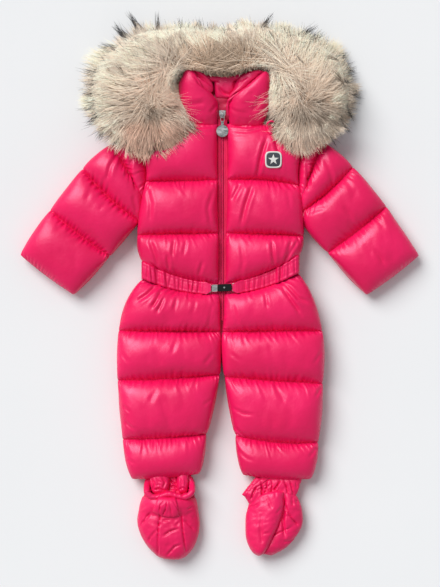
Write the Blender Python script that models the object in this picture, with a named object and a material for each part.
# Baby snowsuit, laid flat on its back: quilted down shell, stand collar, hood with a fur
# ruff, waist belt with a metal buckle, two-way front zip and padded booties.
#
# Frame: metres, +Z up, the suit lies on z = 0 with its front up and its head towards +Y.
# The wearer's right side is at -X.  All sizes below are in millimetres.
#
# Every quilted piece is a closed pad: a quilting surface that is only a few millimetres thick
# at its seams and swells to both sides in the channels between them.  Front pieces lie on
# back pieces, and each pair meets at one plane (the "lay" plane of that tube).

import bpy
import math
from mathutils import Vector
from mathutils.bvhtree import BVHTree

MM = 0.001

# ---------------------------------------------------------------- driving sizes
GAP = 0.3            # between sewn pieces
WALL = 3.0           # two cloth layers and flattened down at a quilting line
EDGE = 1.6           # flattened wall at the rim of a bootie piece
ORIGIN = (-0.25, 1.75)  # moves the laid-out sizes so that the box is centred on 0, 0

LAY_BODY = 30.0      # height of the lay plane under the chest and waist
LAY_HEM = 20.0       # ... at the trouser hems
LAY_CUFF = 17.0      # ... at the cuffs
SLEEVE_RUN = 240.0   # armhole to cuff along the sleeve
LEG_RUN = 320.0      # waist to hem
ZIP_X = 4.8          # the zip's centre line
ZIP_HALF = 2.2       # half the width of the closed teeth
ZIP_Z = 35.5         # underside of the zip tape
BELT_THICK = 2.4
BELT_LIFT = 0.7      # belt over the cloth below it
HINGE = (4.8, 296.0 , 43.6)   # axis of the zip pull (mm, before ORIGIN)

FRONT = +1
BACK = -1

# ---------------------------------------------------------------- colours (linear)
PINK = (0.78, 0.012, 0.105, 1)
PINK_DARK = (0.52, 0.006, 0.06, 1)
FUR = (0.60, 0.47, 0.36, 1)
SILVER = (0.62, 0.63, 0.62, 1)
BLACKISH = (0.02, 0.02, 0.022, 1)
PATCH = (0.85, 0.84, 0.80, 1)


def material(name, color, rough, metal=0.0):
    m = bpy.data.materials.get(name)
    if m is None:
        m = bpy.data.materials.new(name)
        m.use_nodes = True
        b = m.node_tree.nodes["Principled BSDF"]
        b.inputs["Base Color"].default_value = color
        b.inputs["Roughness"].default_value = rough
        b.inputs["Metallic"].default_value = metal
        m.diffuse_color = color
    return m


def add_mesh(name, verts, faces, color, rough=0.35, metal=0.0, sharp=42.0, origin=None):
    """verts in mm; the object's origin is at `origin` (mm) or at the world's."""
    ox, oy = ORIGIN
    org = Vector((0, 0, 0)) if origin is None else Vector(origin) + Vector((ox, oy, 0))
    pts = [((x + ox - org.x) * MM, (y + oy - org.y) * MM, (z - org.z) * MM) for x, y, z in verts]
    me = bpy.data.meshes.new(name)
    me.from_pydata(pts, [], faces)
    me.validate()
    me.update()
    # turn the faces out: the signed volume of a closed mesh is positive when they point out
    vol = 0.0
    for p in me.polygons:
        v = [me.vertices[i].co for i in p.vertices]
        for k in range(1, len(v) - 1):
            vol += v[0].dot(v[k].cross(v[k + 1]))
    if vol < 0:
        me.flip_normals()
    me.shade_smooth()
    me.set_sharp_from_angle(angle=math.radians(sharp))
    me.materials.append(material(name, color, rough, metal))
    ob = bpy.data.objects.new(name, me)
    ob.location = org * MM
    bpy.context.collection.objects.link(ob)
    return ob


# ---------------------------------------------------------------- small maths
def lerp(a, b, t):
    return a + (b - a) * t


def quad3(a, m, b, s):
    """through a, m, b at s = 0, 1/2, 1"""
    return (1 - s) * (1 - 2 * s) * a + 4 * s * (1 - s) * m + s * (2 * s - 1) * b


def smooth(t):
    t = max(0.0, min(1.0, t))
    return t * t * (3 - 2 * t)


def arch(t):
    """0 at an edge, 1 at t >= 1, steep at the edge like the side of a cushion"""
    t = max(0.0, min(1.0, t))
    return math.sqrt(max(0.0, 1 - (1 - t) ** 2))


def swell(s):
    """height of a channel between two quilting lines, s from 0 to 1"""
    return max(0.0, 1 - (2 * s - 1) ** 2) ** 0.62


def along(pts, t):
    """point of a polyline at index position t"""
    i = min(int(t), len(pts) - 2)
    f = t - i
    return (lerp(pts[i][0], pts[i + 1][0], f), lerp(pts[i][1], pts[i + 1][1], f))


# ---------------------------------------------------------------- sections of the pads
class Row:
    """one section across a pad: its points by u, how full it is, how far it is lifted"""

    def __init__(self, a, b, bow, full, rise_f, rise_b, lift_a, lift_b, path=None):
        self.a, self.b, self.bow, self.full = a, b, bow, full
        self.rise = {FRONT: rise_f, BACK: rise_b}
        self.lift = (lift_a, lift_b)
        self.path = path          # polyline with one unit of index per equal step, or None

    def point(self, u):
        if self.path is not None:
            return along(self.path, u * (len(self.path) - 1))
        x = lerp(self.a[0], self.b[0], u)
        y = lerp(self.a[1], self.b[1], u) + self.bow * 4 * u * (1 - u)
        return (x, y)


def rows_of(table, steps=4):
    """table rows: (name, ax, ay, bx, by, bow, full, rise_f, rise_b, lift_a, lift_b).
    full 0 is a quilting line, full > 0 is the middle of the channel between two lines."""
    out = []
    i = 0
    while i < len(table):
        r = table[i]
        assert r[6] == 0
        out.append(Row((r[1], r[2]), (r[3], r[4]), r[5], 0.0, r[7], r[8], r[9], r[10]))
        if i + 2 < len(table) and table[i + 1][6] > 0:
            m, e = table[i + 1], table[i + 2]
            for k in range(1, steps):
                s = k / steps
                v = [quad3(r[c], m[c], e[c], s) for c in range(1, 6)]
                lifts = [lerp(r[c], m[c], 2 * s) if s < 0.5 else lerp(m[c], e[c], 2 * s - 1)
                         for c in range(7, 11)]
                out.append(Row((v[0], v[1]), (v[2], v[3]), v[4], m[6] * swell(s), *lifts))
            i += 2
        else:
            i += 1
    return out


def level(x, y):
    return LAY_BODY


def edges_of(u, row, width):
    """puff factor and lift factor of a pad at u, from its two sewn edges"""
    ea, eb = arch(u / width), arch((1 - u) / width)
    la, lb = row.lift
    return ea * eb, 1 - (1 - la) * (1 - ea) - (1 - lb) * (1 - eb)


def pad_heights(row, u, face, plane, puff_in, puff_out, width, clear=GAP):
    x, y = row.point(u)
    m = plane(x, y) + face * clear / 2
    e, lift = edges_of(u, row, width)
    p_in = puff_in * row.rise[face]
    q = WALL / 2 + p_in * lift
    z_in = m + face * max(0.0, q - WALL / 2 - p_in * row.full * e)
    z_out = m + face * (q + WALL / 2 + puff_out * row.full * e)
    if face == BACK:
        z_out = max(0.0, z_out)
        z_in = max(z_in, z_out + EDGE)
    return x, y, z_in, z_out


def grid_solid(outer, inner):
    """closed solid between two grids of points with the same rows and columns"""
    nr, nc = len(outer), len(outer[0])
    verts = [p for r in outer for p in r] + [p for r in inner for p in r]
    off = nr * nc
    faces = []
    for i in range(nr - 1):
        for j in range(nc - 1):
            a, b = i * nc + j, i * nc + j + 1
            c, d = a + nc, b + nc
            faces.append((a, b, d, c))
            faces.append((off + a, off + c, off + d, off + b))
    rim = [j for j in range(nc)] + [i * nc + nc - 1 for i in range(1, nr)] \
        + [(nr - 1) * nc + j for j in range(nc - 2, -1, -1)] + [i * nc for i in range(nr - 2, 0, -1)]
    for k in range(len(rim)):
        a, b = rim[k], rim[(k + 1) % len(rim)]
        faces.append((b, a, off + a, off + b))
    return verts, faces


def pad(name, rows, cols, face, plane, puff_in, puff_out, width, color=PINK):
    outer, inner = [], []
    for r in rows:
        ro, ri = [], []
        for u in cols:
            x, y, zi, zo = pad_heights(r, u, face, plane, puff_in, puff_out, width)
            ro.append((x, y, zo))
            ri.append((x, y, zi))
        outer.append(ro)
        inner.append(ri)
    v, f = grid_solid(outer, inner)
    return add_mesh(name, v, f, color)


# ================================================================ tables of the suit's sections
# columns: section, outer x, y, inner x, y (at the zip or the inseam), bow of the row,
#          fullness (0 = quilting line), rise of the front and of the back pad,
#          lift at the outer edge, lift at the inner edge
TORSO_R = (
    ("shoulder", -147.0, 251.0, -3.5, 279.5, 13.0, 0.0, 0.85, 0.20, 0.6, 1.0),
    ("chest",    -125.0, 217.0, -3.8, 232.0,  3.0, 1.0, 1.00, 1.00, 1.0, 1.0),
    ("quilt_1",  -123.0, 183.5, -3.5, 185.5,  0.0, 0.0, 1.00, 1.00, 1.0, 1.0),
    ("ribs",     -133.5, 140.0, -3.7, 140.0,  0.0, 0.95, 1.00, 1.00, 0.9, 1.0),
    ("quilt_2",  -137.5,  93.5, -2.6,  96.0,  0.0, 0.0, 1.00, 1.00, 0.0, 1.0),
    ("waist_up", -135.5,  69.0, -3.0,  55.0, -1.0, 0.9, 1.00, 1.00, 0.0, 1.0),
    ("belt_top", -127.0,  47.5, -2.6,  12.0, -8.0, 0.0, 0.60, 0.60, 0.0, 1.0),
    ("waist",    -127.0,  33.5, -2.2,   3.0, -8.0, 0.0, 0.60, 0.60, 0.0, 1.0),
)
TORSO_L = (
    ("shoulder", 149.0, 252.5, 13.1, 279.5, 13.0, 0.0, 0.85, 0.20, 0.6, 1.0),
    ("chest",    133.0, 217.0, 14.3, 232.0,  3.0, 1.0, 1.00, 1.00, 1.0, 1.0),
    ("quilt_1",  133.0, 176.0, 14.3, 185.5,  5.0, 0.0, 1.00, 1.00, 1.0, 1.0),
    ("ribs",     139.5, 133.0, 13.4, 140.0,  0.0, 0.95, 1.00, 1.00, 0.9, 1.0),
    ("quilt_2",  140.5,  92.0, 12.1,  96.0,  0.0, 0.0, 1.00, 1.00, 0.0, 1.0),
    ("waist_up", 137.5,  72.0, 11.7,  55.0, -1.0, 0.9, 1.00, 1.00, 0.0, 1.0),
    ("belt_top", 130.5,  58.0, 11.2,  12.0, -8.0, 0.0, 0.60, 0.60, 0.0, 1.0),
    ("waist",    130.5,  43.5, 10.8,   3.0, -8.0, 0.0, 0.60, 0.60, 0.0, 1.0),
)
LEG_R = (
    ("waist",    -127.0,   33.5,  -2.2,    3.0, -8.0, 0.0, 0.60, 0.60, 0.0, 1.0),
    ("belt_low", -127.0,   19.5,  -2.0,   -5.5, -8.0, 0.0, 0.60, 0.60, 0.0, 1.0),
    ("hip",      -157.5,  -19.5,  -1.7,  -33.0, -2.0, 0.95, 1.00, 1.00, 0.0, 1.0),
    ("quilt_1",  -169.0,  -68.0,   0.8,  -69.5,  0.0, 0.0, 1.00, 1.00, 0.0, 0.6),
    ("thigh",    -171.5, -108.0,   2.4, -104.0, -1.0, 1.0, 1.00, 1.00, 0.0, 0.0),
    ("quilt_2",  -171.0, -151.5,   0.0, -142.0, -2.0, 0.0, 1.00, 1.00, 0.0, 0.0),
    ("knee",     -167.5, -200.0, -11.0, -193.0, -2.0, 1.0, 1.00, 1.00, 0.0, 0.0),
    ("quilt_3",  -162.5, -251.0, -23.0, -242.0, -2.0, 0.0, 1.00, 1.00, 0.0, 0.0),
    ("shin",     -157.5, -288.0, -29.0, -281.5, -3.0, 0.85, 0.90, 0.90, 0.0, 0.0),
    ("hem",      -146.5, -318.0, -35.5, -309.5, -3.0, 0.0, 0.50, 0.50, 0.0, 0.0),
)
LEG_L = (
    ("waist",    130.5,   43.5, 10.8,    3.0, -8.0, 0.0, 0.60, 0.60, 0.0, 1.0),
    ("belt_low", 130.5,   29.0, 10.5,   -5.5, -8.0, 0.0, 0.60, 0.60, 0.0, 1.0),
    ("hip",      158.0,  -13.0,  9.4,  -33.0, -2.0, 0.95, 1.00, 1.00, 0.0, 1.0),
    ("quilt_1",  172.5,  -68.0,  5.8,  -69.5,  0.0, 0.0, 1.00, 1.00, 0.0, 0.6),
    ("thigh",    175.5, -108.0,  4.0, -104.0, -1.0, 1.0, 1.00, 1.00, 0.0, 0.0),
    ("quilt_2",  173.0, -156.5,  9.5, -145.5, -1.0, 0.0, 1.00, 1.00, 0.0, 0.0),
    ("knee",     172.5, -203.0, 18.0, -193.0, -3.0, 1.0, 1.00, 1.00, 0.0, 0.0),
    ("quilt_3",  165.5, -256.0, 28.0, -244.0, -6.0, 0.0, 1.00, 1.00, 0.0, 0.0),
    ("shin",     164.0, -288.0, 33.5, -281.5, -4.0, 0.85, 0.90, 0.90, 0.0, 0.0),
    ("hem",      153.0, -318.0, 41.0, -311.0, -4.0, 0.0, 0.50, 0.50, 0.0, 0.0),
)
# sleeves: section, top-edge x, y, fullness, rise, bow of the row; the lower edge runs along the
# armhole and then along the underarm path below
SLEEVE_R = (
    ("armhole", None,    None,  0.00, 1.00,  0.0),
    ("cap",     -164.5, 250.5,  0.80, 1.00,  2.0),
    ("quilt_1", -181.0, 245.5,  0.00, 1.00,  6.0),
    ("upper",   -206.5, 228.5,  1.00, 1.00, -4.0),
    ("quilt_2", -230.5, 204.0,  0.00, 1.00, -6.0),
    ("elbow",   -259.0, 171.0,  1.00, 1.00, -4.0),
    ("quilt_3", -285.0, 135.0,  0.00, 0.90, -3.0),
    ("lower",   -312.0, 101.0,  0.95, 0.80, -3.0),
    ("cuff",    -336.0,  59.5,  0.00, 0.45, -3.0),
)
UNDER_R = ((-158.0, 92.5), (-186.0, 58.5), (-216.5, 24.5), (-247.5, -6.5))
STEPS_R = ((0.0, 0.2, 0.4), (0.4, 0.7, 1.0, 1.5, 2.0), (2.0, 2.67, 3.33, 4.0),
           (4.0, 4.67, 5.33, 6.0))
SLEEVE_L = (
    ("armhole", None,   None,  0.00, 1.00,  0.0),
    ("cap",     161.0, 253.0,  0.80, 1.00,  2.0),
    ("quilt_1", 174.0, 249.0,  0.00, 1.00,  6.0),
    ("upper",   200.0, 228.5,  1.00, 1.00, -3.0),
    ("quilt_2", 224.0, 207.0,  0.00, 1.00, -5.0),
    ("elbow",   252.0, 176.0,  1.00, 1.00, -4.0),
    ("quilt_3", 281.0, 141.0,  0.00, 0.90, -3.0),
    ("lower",   308.5, 101.0,  0.95, 0.80, -3.0),
    ("cuff",    336.5,  58.5,  0.00, 0.45, -3.0),
)
UNDER_L = ((155.0, 92.0), (183.5, 64.5), (216.0, 25.5), (250.0, -6.5))
STEPS_L = ((0.0, 0.2, 0.4), (0.4, 0.55, 0.7, 0.85, 1.0), (1.0, 2.0, 3.0, 4.0),
           (4.0, 4.67, 5.33, 6.0))

U_HALF = (0.0, 0.07, 0.22, 0.48, 0.75, 0.93, 1.0)
U_LEG = (0.0, 0.07, 0.22, 0.48, 0.75, 0.93, 1.0)
U_SLEEVE = (0.0, 0.08, 0.2, 0.4, 0.6, 0.8, 0.92, 1.0)
EDGE_W = 0.34        # how far a pad's rounded edge reaches, as a share of its width

PUFF_BODY = {FRONT: (7.0, 15.0), BACK: (8.0, 26.0)}
PUFF_LEG = {FRONT: (6.0, 15.0), BACK: (7.0, 21.0)}
PUFF_SLEEVE = {FRONT: (5.0, 13.0), BACK: (6.0, 17.0)}


def leg_plane(x, y):
    return LAY_BODY + (LAY_HEM - LAY_BODY) * (20.0 - y) / LEG_RUN


def sleeve_plane(side):
    ax, ay = (-127.0, 202.0) if side < 0 else (135.0, 202.0)
    dx, dy = (-0.686 if side < 0 else 0.716), (-0.728 if side < 0 else -0.698)

    def plane(x, y):
        s = (x - ax) * dx + (y - ay) * dy
        return LAY_BODY - (LAY_BODY - LAY_CUFF) * s / SLEEVE_RUN
    return plane


def middle_rows(rows, others):
    """the same sections, cut at the centre line instead of at the zip"""
    out = []
    for r, o in zip(rows, others):
        side = 1 if r.a[0] < 0 else -1
        cx = 0.5 * (r.b[0] + o.b[0])
        out.append(Row(r.a, (cx - side * GAP / 2, 0.5 * (r.b[1] + o.b[1])), r.bow, r.full,
                       r.rise[FRONT], r.rise[BACK], *r.lift))
    return out


# ================================================================ torso
def build_torso():
    rr, rl = rows_of(TORSO_R), rows_of(TORSO_L)
    for nm, rows in (("front_torso_R", rr), ("front_torso_L", rl)):
        pad(nm, rows, U_HALF, FRONT, level, *PUFF_BODY[FRONT], EDGE_W)
    # the back is one piece: both halves, joined at the centre line
    pi, po = PUFF_BODY[BACK]
    outer, inner = [], []
    for a, b in zip(middle_rows(rr, rl), middle_rows(rl, rr)):
        ro, ri = [], []
        for half, r in ((0, a), (1, b)):
            cols = U_HALF if half == 0 else tuple(reversed(U_HALF[:-1]))
            for u in cols:
                e = arch(u / EDGE_W)
                lift = 1 - (1 - r.lift[0]) * (1 - e)
                x, y = r.point(u)
                if u == 1.0:
                    x = 0.5 * (a.b[0] + b.b[0])
                m = LAY_BODY - GAP / 2
                p = pi * r.rise[BACK]
                q = WALL / 2 + p * lift
                zi = m - max(0.0, q - WALL / 2 - p * r.full * e)
                zo = max(0.0, m - (q + WALL / 2 + po * r.full * e))
                ri.append((x, y, zi))
                ro.append((x, y, zo))
        outer.append(ro)
        inner.append(ri)
    v, f = grid_solid(outer, inner)
    add_mesh("back_torso", v, f, PINK)
    return rr, rl


# ================================================================ legs
def build_legs():
    rr, rl = rows_of(LEG_R, 3), rows_of(LEG_L, 3)
    for r in (rr[0], rl[0]):
        r.a = (r.a[0], r.a[1] - GAP)
        r.b = (r.b[0], r.b[1] - GAP)
    for nm, rows in (("front_leg_R", rr), ("front_leg_L", rl)):
        pad(nm, rows, U_LEG, FRONT, leg_plane, *PUFF_LEG[FRONT], EDGE_W)
    crotch = 5            # sections above the crotch, cut at the centre line at the back
    for nm, rows, others in (("back_leg_R", rr, rl), ("back_leg_L", rl, rr)):
        mid = middle_rows(rows, others)
        cut = [m if i < crotch else r for i, (m, r) in enumerate(zip(mid, rows))]
        pad(nm, cut, U_LEG, BACK, leg_plane, *PUFF_LEG[BACK], EDGE_W)
    return rr, rl


# ================================================================ sleeves
def sleeve_rows(table, side, armhole, under, steps):
    shift = side * 0.45
    hole = [(x + shift, y) for x, y in armhole]          # torso sections 0 .. 7
    path = hole[5:8] + list(under)
    top = [(r[1], r[2]) if r[1] is not None else hole[0] for r in table]
    rows = [Row(hole[0], hole[5], 0, 0.0, 1.0, 1.0, 0.6, 1.0, path=hole[:6])]
    i, ch = 0, 0
    while i + 2 < len(table):
        a, m, b = table[i], table[i + 1], table[i + 2]
        n = len(steps[ch]) - 1
        for k in range(1, n + 1):
            s = k / n
            t = steps[ch][k]
            pt = (quad3(top[i][0], top[i + 1][0], top[i + 2][0], s),
                  quad3(top[i][1], top[i + 1][1], top[i + 2][1], s))
            pu = along(path, t)
            lift_u = max(0.0, min(1.0, (2.0 - t) / 0.5 + 0.3)) if t < 2.0 else 0.0
            full = m[3] * swell(s)
            rise = quad3(a[4], m[4], b[4], s)
            rows.append(Row(pt, pu, quad3(a[5], m[5], b[5], s), full, rise, rise, 0.0, lift_u))
        i += 2
        ch += 1
    return rows


def build_sleeves(torso_r, torso_l):
    out = {}
    for side, table, rows_t, under, steps, tag in (
            (-1, SLEEVE_R, torso_r, UNDER_R, STEPS_R, "R"),
            (+1, SLEEVE_L, torso_l, UNDER_L, STEPS_L, "L")):
        armhole = [r.a for r in rows_t[:8]]
        rows = sleeve_rows(table, side, armhole, under, steps)
        plane = sleeve_plane(side)
        pad("sleeve_front_" + tag, rows, U_SLEEVE, FRONT, plane, *PUFF_SLEEVE[FRONT], 0.38)
        pad("sleeve_back_" + tag, rows, U_SLEEVE, BACK, plane, *PUFF_SLEEVE[BACK], 0.38)
        out[tag] = rows
    return out


# ================================================================ collar and hood
# columns: section, outer x, y, inner x, y, height of the pad's middle at both ends and between,
#          puff
COLLAR_R = (
    ("base",  -54.5, 283.6,  -4.0, 282.8, 37.2, 38.6, 37.4,  0.8),
    ("low",   -61.0, 303.5,  -4.0, 301.5, 44.0, 50.0, 40.0,  7.5),
    ("mid",   -68.0, 329.0,  -2.5, 324.0, 49.5, 57.0, 50.0,  9.5),
    ("high",  -72.5, 351.0, -17.5, 340.5, 53.0, 59.5, 56.0,  9.5),
    ("upper", -69.0, 368.0, -33.5, 353.0, 55.0, 59.0, 57.0,  7.0),
    ("top",   -60.0, 380.5, -38.5, 380.0, 54.0, 56.5, 54.0,  1.0),
)
COLLAR_L = (
    ("base",   82.0, 283.6,  13.6, 282.8, 37.2, 38.6, 37.4,  0.8),
    ("low",    84.5, 303.5,  13.2, 301.5, 44.0, 50.0, 40.0,  7.5),
    ("mid",    87.5, 325.0,  15.5, 324.5, 49.5, 57.0, 50.0,  9.5),
    ("high",   89.0, 345.0,  33.0, 341.0, 53.0, 59.5, 56.0,  9.5),
    ("upper",  87.5, 361.0,  58.0, 360.0, 55.0, 59.0, 57.0,  6.0),
    ("top",    82.5, 374.5,  73.0, 374.0, 54.0, 56.5, 54.0,  1.0),
)
COLLAR_BACK = (
    ("base",  -58.0, 284.0,  80.0, 284.0, 27.5, 27.5, 27.5,  0.6),
    ("low",   -64.0, 306.0,  84.0, 306.0, 28.5, 29.0, 28.5,  2.5),
    ("mid",   -66.0, 326.0,  86.0, 326.0, 30.0, 32.0, 30.0,  5.0),
    ("high",  -64.0, 346.0,  86.0, 346.0, 30.5, 35.0, 30.5,  8.0),
    ("upper", -58.0, 365.0,  84.0, 364.0, 30.5, 35.0, 30.5,  7.5),
    ("top",   -44.0, 377.5,  74.0, 374.0, 30.0, 31.0, 30.0,  0.4),
)
HOOD = (
    ("neck",    -56.0, 287.5,   78.0, 287.5, 12.0, 12.0, 12.0,  4.0),
    ("low",    -104.0, 301.0,  123.0, 301.0, 12.0, 12.0, 12.0, 10.4),
    ("wide",   -134.0, 328.0,  151.0, 328.0, 12.0, 12.0, 12.0, 10.4),
    ("middle", -140.0, 356.0,  154.0, 356.0, 12.0, 12.0, 12.0, 10.4),
    ("crown",  -120.0, 385.0,  132.0, 385.0, 12.0, 12.0, 12.0, 10.4),
    ("edge",    -70.0, 404.0,   80.0, 404.0, 12.0, 12.0, 12.0,  6.0),
)


def sheet_pad(name, table, cols, width, wall=WALL, floor=None, color=PINK, bow=0.0):
    """a pad round its own middle surface: ends and centre height from the table"""
    outer, inner = [], []
    for r in table:
        ro, ri = [], []
        for u in cols:
            x = lerp(r[1], r[3], u)
            y = lerp(r[2], r[4], u) + bow * 4 * u * (1 - u)
            zc = quad3(r[5], r[6], r[7], u)
            e = arch(u / width) * arch((1 - u) / width)
            h = wall / 2 + r[8] * e
            lo = zc - h
            if floor is not None:
                lo = max(floor, lo)
            ro.append((x, y, zc + h))
            ri.append((x, y, lo))
        outer.append(ro)
        inner.append(ri)
    v, f = grid_solid(outer, inner)
    return add_mesh(name, v, f, color)


def refine(table, steps=2):
    """smooth extra sections between the named ones"""
    out = []
    n = len(table)
    for i in range(n - 1):
        p0, p1 = table[max(i - 1, 0)], table[i]
        p2, p3 = table[i + 1], table[min(i + 2, n - 1)]
        for k in range(steps):
            t = k / steps
            row = [p1[0]]
            for c in range(1, len(p1)):
                a = 2 * p1[c]
                b = p2[c] - p0[c]
                cc = 2 * p0[c] - 5 * p1[c] + 4 * p2[c] - p3[c]
                d = -p0[c] + 3 * p1[c] - 3 * p2[c] + p3[c]
                row.append(0.5 * (a + b * t + cc * t * t + d * t ** 3))
            out.append(tuple(row))
    out.append(table[-1])
    return out


def build_collar():
    cols = (0.0, 0.1, 0.3, 0.55, 0.8, 0.94, 1.0)
    sheet_pad("collar_front_R", refine(COLLAR_R), cols, 0.4)
    sheet_pad("collar_front_L", refine(COLLAR_L), cols, 0.4)
    sheet_pad("collar_back", refine(COLLAR_BACK), (0, 0.05, 0.15, 0.3, 0.5, 0.7, 0.85, 0.95, 1.0),
              0.25, floor=24.4)
    sheet_pad("hood", refine(HOOD), (0, 0.05, 0.15, 0.35, 0.5, 0.65, 0.85, 0.95, 1.0), 0.25,
              floor=0.0)


# fur ruff: sections across the trim, from its outer reach to its inner reach
# columns: section, outer x, y, inner x, y, height of the pile over its underside
FUR_RUFF = (
    ("tip_R",      -98.0, 234.0,  -67.0, 262.0, 20.0),
    ("end_R",     -135.0, 233.0,  -66.0, 290.0, 32.0),
    ("curl_R",    -178.0, 252.0,  -76.0, 316.0, 46.0),
    ("lobe_low_R", -205.0, 286.0,  -82.0, 329.0, 56.0),
    ("lobe_R",    -213.0, 328.0,  -86.0, 342.0, 60.0),
    ("lobe_up_R", -206.0, 372.0,  -89.0, 355.0, 60.0),
    ("turn_R",    -182.0, 409.0,  -86.0, 368.0, 56.0),
    ("shoulder_R", -143.0, 434.0, -70.0, 378.0, 50.0),
    ("band_R",     -98.0, 446.0,  -52.0, 386.0, 44.0),
    ("band_cR",    -46.0, 448.5,  -24.0, 386.0, 42.0),
    ("band_c",       4.0, 448.0,    6.0, 382.0, 42.0),
    ("band_cL",     58.0, 448.0,   38.0, 384.0, 42.0),
    ("band_L",     109.0, 443.0,   68.0, 384.0, 46.0),
    ("shoulder_L", 152.0, 429.0,   89.0, 376.0, 52.0),
    ("turn_L",     189.0, 405.0,  101.0, 366.0, 58.0),
    ("lobe_up_L",  215.0, 371.0,  104.0, 354.0, 61.0),
    ("lobe_L",     227.0, 327.0,  103.0, 339.0, 61.0),
    ("lobe_low_L", 222.0, 289.0,   99.0, 322.0, 56.0),
    ("curl_L",     201.0, 254.0,   96.0, 302.0, 46.0),
    ("end_L",      167.0, 237.0,   97.0, 280.0, 32.0),
    ("tip_L",      133.0, 237.0,  105.0, 262.0, 20.0),
)
FUR_W = (0.0, 0.06, 0.25, 0.5, 0.75, 0.94, 1.0)


def fur_floor(x, y):
    """underside of the trim: over the hood, and up over the shoulders and sleeves"""
    over_hood = 26.0
    over_shoulder = 57.0
    z = lerp(over_hood, over_shoulder, smooth((300.0 - y) / 36.0))
    # beyond the hood's edge the pile hangs lower
    r = math.hypot((x - 6.0) / 158.0, (y - 330.0) / 96.0)
    return lerp(z, 9.0, smooth((r - 1.0) / 0.30) * smooth((y - 268.0) / 30.0))


def build_fur():
    n = len(FUR_W)
    loops = []
    for r in FUR_RUFF:
        top, bottom = [], []
        for w in FUR_W:
            x, y = lerp(r[1], r[3], w), lerp(r[2], r[4], w)
            zb = fur_floor(x, y)
            body = arch(w / 0.5) * arch((1 - w) / 0.5)
            mean = 0.5 * (fur_floor(r[1], r[2]) + fur_floor(r[3], r[4]))
            zt = max(zb + 5.0, lerp(zb, max(mean, 26.0), 0.8) + r[5] * (0.12 + 0.88 * body))
            top.append((x, y, zt))
            bottom.append((x, y, zb))
        loops.append(top + bottom[::-1])
    m = 2 * n
    verts = [p for lp in loops for p in lp]
    faces = []
    for i in range(len(loops) - 1):
        for j in range(m):
            a, b = i * m + j, i * m + (j + 1) % m
            faces.append((a, b, b + m, a + m))
    for base, flip in ((0, 1), ((len(loops) - 1) * m, 0)):
        for j in range(n - 1):
            q = (base + j, base + j + 1, base + m - 2 - j, base + m - 1 - j)
            faces.append(tuple(reversed(q)) if flip else q)
    add_mesh("fur_ruff", verts, faces, FUR, rough=0.9)


# ================================================================ belt
def build_belt(rows, side, tag):
    """front stretch: lies in the groove between the waist sections, made from their points"""
    t_rows, l_rows = rows
    top, mid, low = t_rows[-2], t_rows[-1], l_rows[1]
    cols = U_HALF[:-1]
    w = (0.10, 0.5, 0.90)
    outer, inner = [], []
    for u in cols:
        a, b, c = top.point(u), mid.point(u), low.point(u)
        ro, ri = [], []
        zs = max(pad_heights(r, u, FRONT, pl, *pf, EDGE_W)[3]
                 for r, pl, pf in ((top, level, PUFF_BODY[FRONT]), (mid, level, PUFF_BODY[FRONT]),
                                   (low, leg_plane, PUFF_LEG[FRONT])))
        for s in w:
            x, y = quad3(a[0], b[0], c[0], s), quad3(a[1], b[1], c[1], s)
            ro.append((x, y, zs + BELT_LIFT + BELT_THICK))
            ri.append((x, y, zs + BELT_LIFT))
        outer.append(ro)
        inner.append(ri)
    # the end of the stretch turns down past the side seam
    ext = side * 4.5
    ro = [(p[0] + ext, p[1], LAY_BODY + 0.8) for p in outer[0]]
    ri = [(p[0] + side * 1.6, p[1], LAY_BODY + 0.8) for p in inner[0]]
    outer[0] = [(p[0] + side * 2.6, p[1], p[2]) for p in outer[0]]
    outer.insert(0, ro)
    inner[0] = [(p[0] + side * 0.9, p[1], p[2]) for p in inner[0]]
    inner.insert(0, ri)
    v, f = grid_solid(outer, inner)
    add_mesh("belt_front_" + tag, v, f, PINK, sharp=60)
    return outer


def build_belt_back(torso, legs):
    """back stretch: one strip in the groove under the waist, side to side"""
    (tr, tl), (lr, ll) = torso, legs
    outer, inner = [], []
    w = (0.10, 0.5, 0.90)

    def strip(t_rows, l_rows, cols):
        top, mid, low = t_rows[-2], t_rows[-1], l_rows[1]
        for u in cols:
            a, b, c = top.point(u), mid.point(u), low.point(u)
            zs = min(pad_heights(r, u, BACK, pl, *pf, EDGE_W)[3]
                     for r, pl, pf in ((top, level, PUFF_BODY[BACK]), (mid, level, PUFF_BODY[BACK]),
                                       (low, leg_plane, PUFF_LEG[BACK])))
            ro, ri = [], []
            for s in w:
                x, y = quad3(a[0], b[0], c[0], s), quad3(a[1], b[1], c[1], s)
                ro.append((x, y, zs - BELT_LIFT - BELT_THICK))
                ri.append((x, y, zs - BELT_LIFT))
            outer.append(ro)
            inner.append(ri)

    strip(tr, lr, U_HALF[:-1])
    strip(tl, ll, tuple(reversed(U_HALF[:-1])))
    for end, side in ((len(outer) - 1, 1), (0, -1)):
        ro = [(p[0] + side * 4.5, p[1], LAY_BODY + 0.4) for p in outer[end]]
        ri = [(p[0] + side * 1.6, p[1], LAY_BODY + 0.4) for p in inner[end]]
        outer[end] = [(p[0] + side * 2.6, p[1], p[2]) for p in outer[end]]
        inner[end] = [(p[0] + side * 0.9, p[1], p[2]) for p in inner[end]]
        if end == 0:
            outer.insert(0, ro)
            inner.insert(0, ri)
        else:
            outer.append(ro)
            inner.append(ri)
    v, f = grid_solid(outer, inner)
    add_mesh("belt_back", v, f, PINK, sharp=60)


# ================================================================ zip
ZIP_TOP = 305.0      # the tape's top end, between the collar fronts
ZIP_END = -52.0      # its lower end, above the crotch
CHAIN_TOP = 288.5


def zip_edge(t_rows, l_rows):
    pts = [r.b for r in t_rows] + [r.b for r in l_rows[1:]]
    return [p for p in pts if p[1] > ZIP_END]


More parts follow.
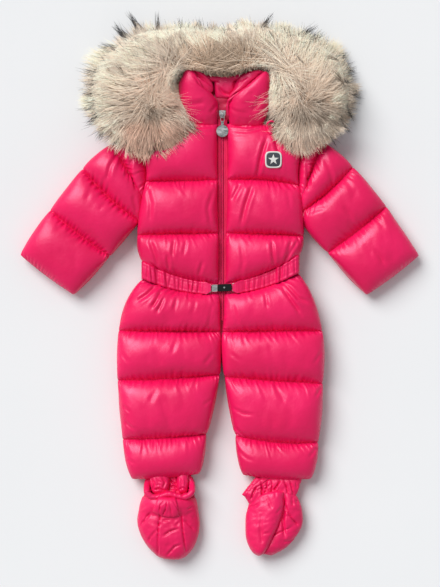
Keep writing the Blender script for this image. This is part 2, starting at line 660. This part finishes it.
def at_y(pts, y):
    for p, q in zip(pts, pts[1:]):
        if p[1] >= y >= q[1]:
            t = 0 if p[1] == q[1] else (p[1] - y) / (p[1] - q[1])
            return lerp(p[0], q[0], t)
    return pts[-1][0] if y < pts[-1][1] else pts[0][0]


def build_zip(torso, legs):
    for side, tag, t_rows, l_rows in ((-1, "R", torso[0], legs[0]), (1, "L", torso[1], legs[1])):
        full = [r.b for r in t_rows] + [r.b for r in l_rows[1:]]
        ys = [p[1] for p in full if p[1] > ZIP_END]
        ys = [ZIP_TOP] + ys + [ZIP_END]
        outer, inner = [], []
        for y in ys:
            xe = at_y(full, min(y, full[0][1])) - side * GAP
            xi = ZIP_X + side * (ZIP_HALF + GAP)
            for lst, z in ((outer, ZIP_Z + 1.2), (inner, ZIP_Z)):
                lst.append([(xe, y, z), (xi, y, z)])
        v, f = grid_solid(outer, inner)
        add_mesh("zip_tape_" + tag, v, f, PINK_DARK, rough=0.6, sharp=30)
    h = ZIP_HALF
    v, f = grid_solid([[(ZIP_X - h, y, ZIP_Z + 1.6), (ZIP_X, y, ZIP_Z + 2.3), (ZIP_X + h, y, ZIP_Z + 1.6)]
                       for y in (CHAIN_TOP, ZIP_END)],
                      [[(ZIP_X - h, y, ZIP_Z - 0.3), (ZIP_X, y, ZIP_Z - 0.3), (ZIP_X + h, y, ZIP_Z - 0.3)]
                       for y in (CHAIN_TOP, ZIP_END)])
    add_mesh("zip_chain", v, f, PINK_DARK, rough=0.4, sharp=30)


def extrude(outline, z0, z1, bevel=0.0):
    """closed solid of a flat outline, its upper and lower rims drawn in by `bevel`"""
    n = len(outline)
    cx = sum(p[0] for p in outline) / n
    cy = sum(p[1] for p in outline) / n

    def inset(p):
        d = math.hypot(p[0] - cx, p[1] - cy)
        k = (d - bevel) / d
        return (cx + (p[0] - cx) * k, cy + (p[1] - cy) * k)
    if bevel:
        rings = [(z0, True), (z0 + bevel, False), (z1 - bevel, False), (z1, True)]
    else:
        rings = [(z0, False), (z1, False)]
    verts = [(*(inset(p) if ins else p), z) for z, ins in rings for p in outline]
    faces = [tuple(range(n - 1, -1, -1))]
    for k in range(len(rings) - 1):
        for i in range(n):
            j = (i + 1) % n
            faces.append((k * n + i, k * n + j, (k + 1) * n + j, (k + 1) * n + i))
    faces.append(tuple((len(rings) - 1) * n + i for i in range(n)))
    return verts, faces


def wire_loop(path, radius, sides=8, flat=1.0):
    """closed wire along a loop of points in a z plane"""
    n = len(path)
    verts, faces = [], []
    for i, p in enumerate(path):
        a, b = path[i - 1], path[(i + 1) % n]
        t = Vector((b[0] - a[0], b[1] - a[1], 0)).normalized()
        nrm = Vector((t.y, -t.x, 0))
        for k in range(sides):
            w = 2 * math.pi * (k + 0.5) / sides
            verts.append((p[0] + nrm.x * radius * math.cos(w), p[1] + nrm.y * radius * math.cos(w),
                          p[2] + flat * radius * math.sin(w)))
    for i in range(n):
        for k in range(sides):
            a, b = i * sides + k, i * sides + (k + 1) % sides
            c, d = ((i + 1) % n) * sides + k, ((i + 1) % n) * sides + (k + 1) % sides
            faces.append((a, b, d, c))
    return verts, faces


def rounded_box(cx, cy, w, h, r, n=4):
    pts = []
    for sx, sy, a0 in ((1, 1, 0), (-1, 1, 90), (-1, -1, 180), (1, -1, 270)):
        for k in range(n + 1):
            a = math.radians(a0 + 90 * k / n)
            pts.append((cx + sx * (w / 2 - r) + r * math.cos(a), cy + sy * (h / 2 - r) + r * math.sin(a)))
    return pts


def union(ob, tools):
    for t in tools:
        t.hide_render = True
        t.display_type = "WIRE"
        m = ob.modifiers.new("join_" + t.name, "BOOLEAN")
        m.operation = "UNION"
        m.object = t


LOOP_HALF = 3.1      # half the inner width of the pull's loop, to its wire's centre
LOOP_LEN = 12.5      # hinge axis to the loop's lower bar
LOOP_WIRE = 0.8
DISC_R = 10.0
DISC_THICK = 2.6
DISC_DROP = 28.5     # hinge axis to the disc's centre


def build_slider():
    hx, hy, hz = HINGE
    # body: a shield-shaped plate over the end of the closed teeth
    plate = [(hx - 5.8, hy + 6.8), (hx + 5.8, hy + 6.8), (hx + 5.4, hy - 1.0), (hx + 3.9, hy - 6.6),
             (hx - 3.9, hy - 6.6), (hx - 5.4, hy - 1.0)]
    v, f = extrude(plate[::-1], 38.4, 41.2, 0.5)
    body = add_mesh("zip_slider", v, f, SILVER, rough=0.3, metal=1.0)
    # bridge: an arch over the hinge bar, its feet sunk in the body
    prof = []
    for k in range(9):
        a = math.radians(180 * k / 8)
        prof.append((hy + 4.6 * math.cos(a), hz - 0.6 + 3.3 * math.sin(a)))
    inner = []
    for k in range(9):
        a = math.radians(180 * k / 8)
        inner.append((hy + 2.9 * math.cos(a), hz - 0.6 + 1.9 * math.sin(a)))
    prof = [(hy + 4.6, 40.6)] + prof + [(hy - 4.6, 40.6)]
    inner = [(hy + 2.9, 40.6)] + inner + [(hy - 2.9, 40.6)]
    n = len(prof)
    verts, faces = [], []
    for x in (hx - 1.4, hx + 1.4):
        verts += [(x, y, z) for y, z in prof] + [(x, y, z) for y, z in inner]
    m = 2 * n
    for i in range(n - 1):
        a, b = i, i + 1
        faces.append((a, b, n + b, n + a))                       # side at -x
        faces.append((m + a, m + n + a, m + n + b, m + b))       # side at +x
        faces.append((a, m + a, m + b, b))                       # outside
        faces.append((n + a, n + b, m + n + b, m + n + a))       # inside
    faces.append((0, n, m + n, m))
    faces.append((n - 1, m + n - 1, m + n + n - 1, n + n - 1))
    arch_ob = add_mesh("guide_bridge", verts, faces, SILVER, rough=0.3, metal=1.0)
    union(body, [arch_ob])


def build_pull():
    hx, hy, hz = HINGE
    loop = rounded_box(hx, hy - LOOP_LEN / 2, 2 * LOOP_HALF, LOOP_LEN, 2.3, 4)
    v, f = wire_loop([(x, y, hz) for x, y in loop], LOOP_WIRE)
    pull = add_mesh("zip_pull", v, f, SILVER, rough=0.28, metal=1.0, origin=HINGE)
    cy = hy - DISC_DROP
    # disc with a short neck that grips the loop's lower bar
    a0 = math.asin(2.2 / DISC_R)
    outline = []
    n = 30
    for k in range(n + 1):
        a = math.pi / 2 + a0 + (2 * math.pi - 2 * a0) * k / n
        outline.append((hx + DISC_R * math.cos(a), cy + DISC_R * math.sin(a)))
    outline += [(hx + 2.2, hy - LOOP_LEN - 0.4), (hx - 2.2, hy - LOOP_LEN - 0.4)]
    zd = hz - DISC_THICK / 2
    v, f = extrude(outline, zd, zd + DISC_THICK)
    disc = add_mesh("guide_disc", v, f, SILVER, rough=0.28, metal=1.0)
    union(pull, [disc])


# ================================================================ buckle
BUCKLE_Z = 41.6


def build_buckle():
    cx, cy = 3.4, 4.4
    tilt = 0.045

    def lean(pts):
        return [(x, y + (x - cx) * tilt) for x, y in pts]
    v, f = extrude(lean(rounded_box(8.6, cy, 23.0, 12.4, 1.6, 3)), BUCKLE_Z, BUCKLE_Z + 3.6, 0.5)
    add_mesh("buckle_plate", v, f, BLACKISH, rough=0.25, metal=0.8)
    v, f = extrude(lean(rounded_box(-8.1, cy, 9.8, 12.4, 1.4, 3)), BUCKLE_Z, BUCKLE_Z + 4.0, 0.5)
    add_mesh("buckle_hook", v, f, SILVER, rough=0.25, metal=1.0)
    v, f = extrude([(8.0 + 1.5 * math.cos(2 * math.pi * k / 12), cy + 0.6 + 1.5 * math.sin(2 * math.pi * k / 12))
                    for k in range(12)], BUCKLE_Z + 3.9, BUCKLE_Z + 4.9)
    add_mesh("buckle_rivet", v, f, SILVER, rough=0.3, metal=1.0)
    for tag, x in (("R", -17.6), ("L", 24.9)):
        loop = lean(rounded_box(x, cy, 7.0, 12.6, 2.2, 2))
        v, f = wire_loop([(px, py, BUCKLE_Z + 1.2) for px, py in loop], 0.8, 6)
        add_mesh("buckle_loop_" + tag, v, f, SILVER, rough=0.25, metal=1.0)


# ================================================================ patch and tab
PATCH_AT = (90.0, 218.0)
PATCH_SIZE = 28.0


def build_patch():
    host = bpy.data.objects["front_torso_L"]
    tree = BVHTree.FromPolygons([v.co for v in host.data.vertices],
                                [p.vertices for p in host.data.polygons])
    n = 6
    outer, inner = [], []
    ox, oy = ORIGIN
    for i in range(n + 1):
        ro, ri = [], []
        for j in range(n + 1):
            a, b = 2 * i / n - 1, 2 * j / n - 1
            # square grid drawn in to a rounded square
            k = 1 / (abs(a) ** 4 + abs(b) ** 4) ** 0.25 * max(abs(a), abs(b)) if (a or b) else 1
            x = PATCH_AT[0] + a * k * PATCH_SIZE / 2
            y = PATCH_AT[1] + b * k * PATCH_SIZE / 2
            hit = tree.ray_cast(Vector(((x + ox) * MM, (y + oy) * MM, 0.2)), Vector((0, 0, -1)))
            z = hit[0].z / MM
            ri.append((x, y, z + 0.7))
            ro.append((x, y, z + 1.9))
        outer.append(ro)
        inner.append(ri)
    v, f = grid_solid(outer, inner)
    add_mesh("chest_patch", v, f, PATCH, rough=0.8)


def build_tab():
    """small loop of the shell cloth that ends the hood, lying on the front by the collar"""
    pts = []
    for k in range(9):
        a = math.radians(-20 + 220 * k / 8)
        pts.append((88.0 + 7.0 * math.cos(a), 268.0 + 9.5 * math.sin(a)))
    outer, inner = [], []
    for i, (x, y) in enumerate(pts):
        dx, dy = x - 88.0, (y - 268.0) * 0.7
        d = math.hypot(dx, dy)
        nx, ny = dx / d, dy / d
        z = 49.5 + 1.2 * math.sin(math.pi * i / 8)
        outer.append([(x - nx * 2.2, y - ny * 2.2, z + 3.0), (x + nx * 2.2, y + ny * 2.2, z + 3.0)])
        inner.append([(x - nx * 2.2, y - ny * 2.2, z), (x + nx * 2.2, y + ny * 2.2, z)])
    v, f = grid_solid(outer, inner)
    add_mesh("hood_tab", v, f, PINK)


# ================================================================ booties
# right bootie: seen from above, on its sole, toe towards -Y
# columns: section, outline x left, y left, x right, y right, height of the upper
BOOT_R = (
    ("ankle",  -130.5, -357.0, -39.5, -357.0, 24.0),
    ("instep", -136.5, -372.0, -36.0, -372.0, 30.0),
    ("ball",   -140.5, -391.0, -34.5, -391.0, 30.5),
    ("toes",   -137.0, -412.0, -37.5, -412.0, 27.0),
    ("tip",    -124.0, -433.0, -47.0, -432.0, 20.0),
    ("end",    -101.0, -452.0, -66.0, -451.0, 8.0),
)
SEAM_L, SEAM_R = -104.5, -62.0      # the vamp's two seams
SOLE_R_TOP = 7.0
ANKLE_R = (-86.0, -338.0)           # centre of the ankle
ANKLE_RX, ANKLE_RY = 43.5, 17.5
ANKLE_WALL = 7.5


def bootie_rows(table, steps=2):
    return refine(table, steps)


def build_bootie_R():
    rows = bootie_rows(BOOT_R)

    def dome(r, x):
        u = (x - r[1]) / (r[3] - r[1])
        return arch(u / 0.5) * arch((1 - u) / 0.5) * r[5]

    seams = ((SEAM_L, SEAM_R))
    base = SOLE_R_TOP + GAP
    for name, lo_fn, hi_fn in (
            ("bootie_R_side_out", lambda r: r[1], lambda r: max(r[1] + 3.0, min(SEAM_L, r[3] - 20)) - GAP / 2),
            ("bootie_R_vamp", lambda r: max(r[1] + 3.0, min(SEAM_L, r[3] - 20)) + GAP / 2,
             lambda r: min(r[3] - 3.0, max(SEAM_R, r[1] + 23)) - GAP / 2),
            ("bootie_R_side_in", lambda r: min(r[3] - 3.0, max(SEAM_R, r[1] + 23)) + GAP / 2, lambda r: r[3])):
        outer, inner = [], []
        cols = (0.0, 0.12, 0.35, 0.65, 0.88, 1.0)
        for k, r in enumerate(rows):
            ro, ri = [], []
            for u in cols:
                x = lerp(lo_fn(r), hi_fn(r), u)
                y = lerp(r[2], r[4], (x - r[1]) / (r[3] - r[1]))
                h = dome(r, x)
                puff = 2.5 * arch(u / 0.5) * arch((1 - u) / 0.5) * (0.3 if k in (0, len(rows) - 1) else 1)
                wall = 2.5 + 3.5 * min(1.0, h / 20.0)
                ro.append((x, y, base + EDGE + h + puff))
                ri.append((x, y, base + max(0.0, h + puff + EDGE - wall - 2.0)))
            outer.append(ro)
            inner.append(ri)
        v, f = grid_solid(outer, inner)
        add_mesh(name, v, f, PINK)
    # sole: flat pad under the upper and the ankle
    sole = [("heel", -112.0, -322.5, -60.0, -322.5), ("a", -128.0, -336.0, -43.0, -336.0)] \
        + [(r[0], r[1] + 1.0, r[2], r[3] - 1.0, r[4]) for r in BOOT_R]
    outer, inner = [], []
    for r in refine(sole, 1):
        ro, ri = [], []
        for u in (0.0, 0.08, 0.3, 0.7, 0.92, 1.0):
            x, y = lerp(r[1], r[3], u), lerp(r[2], r[4], u)
            e = arch(u / 0.2) * arch((1 - u) / 0.2)
            ro.append((x, y, SOLE_R_TOP))
            ri.append((x, y, 3.0 * (1 - e)))
        outer.append(ro)
        inner.append(ri)
    v, f = grid_solid(outer, inner)
    add_mesh("bootie_R_sole", v, f, PINK)
    # ankle: a padded tube round the opening, its front lower edge over the instep
    n = 20
    sections = (("foot", 0.0, 1.0), ("wall", 0.4, 1.05), ("rim_low", 0.75, 1.1), ("rim_top", 1.0, 1.0))
    verts, faces = [], []
    for k in range(n):
        a = 2 * math.pi * k / n
        front = smooth(-math.sin(a) * 0.9 + 0.1)
        z0 = lerp(SOLE_R_TOP + GAP, 30.0, front)
        z1 = 40.0 - 4.0 * smooth(math.sin(a))
        ring = []
        for nm, s, w in sections:                      # outer side, from the foot up
            rx, ry = ANKLE_RX * (0.97 + 0.03 * w), ANKLE_RY * w * 0.93
            ring.append((rx, ry, lerp(z0, z1 - 2.0, s)))
        ring.append((ANKLE_RX - ANKLE_WALL * 0.45, ANKLE_RY - ANKLE_WALL * 0.45, z1))
        for nm, s, w in reversed(sections[:-1]):
            ring.append((ANKLE_RX - ANKLE_WALL, ANKLE_RY - ANKLE_WALL, lerp(z0, z1 - 2.0, s)))
        for rx, ry, z in ring:
            verts.append((ANKLE_R[0] + rx * math.cos(a), ANKLE_R[1] + ry * math.sin(a), z))
    m = len(ring)
    for k in range(n):
        for i in range(m):
            a, b = k * m + i, k * m + (i + 1) % m
            c, d = ((k + 1) % n) * m + i, ((k + 1) % n) * m + (i + 1) % m
            faces.append((a, c, d, b))
    add_mesh("bootie_R_ankle", verts, faces, PINK)


# left bootie: lies on its side, the sole turned up along its right edge
# columns: section, outline x left, y left, seam x, y to the sole, outline x right, y right
BOOT_L = (
    ("ankle",  47.5, -363.0, 110.0, -359.0, 133.0, -357.5),
    ("heel",   51.0, -372.0, 107.0, -374.0, 140.0, -371.0),
    ("arch",   46.5, -386.0, 101.5, -391.0, 141.0, -388.0),
    ("ball",   43.0, -408.0,  94.0, -411.0, 135.5, -411.0),
    ("toes",   46.5, -428.0,  85.5, -431.0, 122.5, -427.5),
    ("tip",    56.0, -443.5,  76.0, -445.5, 102.5, -440.5),
    ("end",    67.5, -451.0,  75.0, -452.0,  84.0, -450.5),
)
LAY_BOOT_L = 16.0


def build_bootie_L():
    rows = refine(BOOT_L)
    cols = (0.0, 0.1, 0.3, 0.55, 0.8, 1.0)
    n = len(rows)
    for name, face in (("bootie_L_side_up", FRONT), ("bootie_L_side_down", BACK)):
        outer, inner = [], []
        for k, r in enumerate(rows):
            ends = arch(min(k, n - 1 - k) / (n - 1) / 0.35 + 0.02)
            ro, ri = [], []
            for u in cols:
                x, y = lerp(r[1], r[3] - GAP, u), lerp(r[2], r[4], u)
                e = arch(u / 0.4) * (0.35 + 0.65 * arch((1 - u) / 0.4)) * (0.25 + 0.75 * ends)
                m = LAY_BOOT_L + face * GAP / 2
                z_out = m + face * (2.0 + 15.0 * e)
                z_in = m + face * max(0.0, 4.0 * e * (1 - u))
                if face == BACK:
                    z_out = max(0.0, z_out)
                    z_in = max(z_in, z_out + EDGE)
                ro.append((x, y, z_out))
                ri.append((x, y, z_in))
            outer.append(ro)
            inner.append(ri)
        v, f = grid_solid(outer, inner)
        add_mesh(name, v, f, PINK)
    outer, inner = [], []
    for k, r in enumerate(rows):
        ends = arch(min(k, n - 1 - k) / (n - 1) / 0.35 + 0.02)
        ro, ri = [], []
        for u in (0.0, 0.2, 0.5, 0.8, 0.95, 1.0):
            x, y = lerp(r[3], r[5], u), lerp(r[4], r[6], u)
            e = (0.55 + 0.45 * arch(u / 0.5)) * arch((1 - u) / 0.6) * (0.25 + 0.75 * ends)
            ro.append((x, y, LAY_BOOT_L + 2.0 + 12.0 * e))
            ri.append((x, y, max(0.0, LAY_BOOT_L - 1.5 - 17.0 * e)))
        outer.append(ro)
        inner.append(ri)
    v, f = grid_solid(outer, inner)
    add_mesh("bootie_L_sole", v, f, PINK)
    # gathered ankle between the hem and the foot, pressed flat
    table = (
        ("hem",   56.0, -321.5, 138.0, -321.5),
        ("upper", 45.0, -331.0, 134.0, -331.0),
        ("lower", 41.0, -344.0, 129.0, -343.0),
        ("foot",  47.5, -362.8, 133.0, -357.3),
    )
    rows = refine(table)
    outer, inner = [], []
    nr = len(rows)
    cols = [k / 10 for k in range(11)]
    for k, r in enumerate(rows):
        ends = arch(min(k, nr - 1 - k) / (nr - 1) / 0.3)
        ro, ri = [], []
        for j, u in enumerate(cols):
            x, y = lerp(r[1], r[3], u), lerp(r[2] - 0.0, r[4], u) + GAP
            e = arch(u / 0.3) * arch((1 - u) / 0.3)
            pleat = 1.6 * (1 if j % 2 else -1) * e
            ro.append((x, y, 16.0 + 2.0 + (9.0 + 5.0 * ends) * e + pleat))
            ri.append((x, y, max(0.0, 16.0 - 2.0 - 15.0 * e)))
        outer.append(ro)
        inner.append(ri)
    v, f = grid_solid(outer, inner)
    add_mesh("bootie_L_ankle", v, f, PINK)


# ================================================================ build
def main():
    for ob in list(bpy.data.objects):
        bpy.data.objects.remove(ob, do_unlink=True)
    torso = build_torso()
    legs = build_legs()
    build_sleeves(*torso)
    build_collar()
    build_fur()
    build_belt((torso[0], legs[0]), -1, "R")
    build_belt((torso[1], legs[1]), 1, "L")
    build_belt_back(torso, legs)
    build_zip(torso, legs)
    build_slider()
    build_pull()
    build_buckle()
    build_patch()
    build_tab()
    build_bootie_R()
    build_bootie_L()


main()
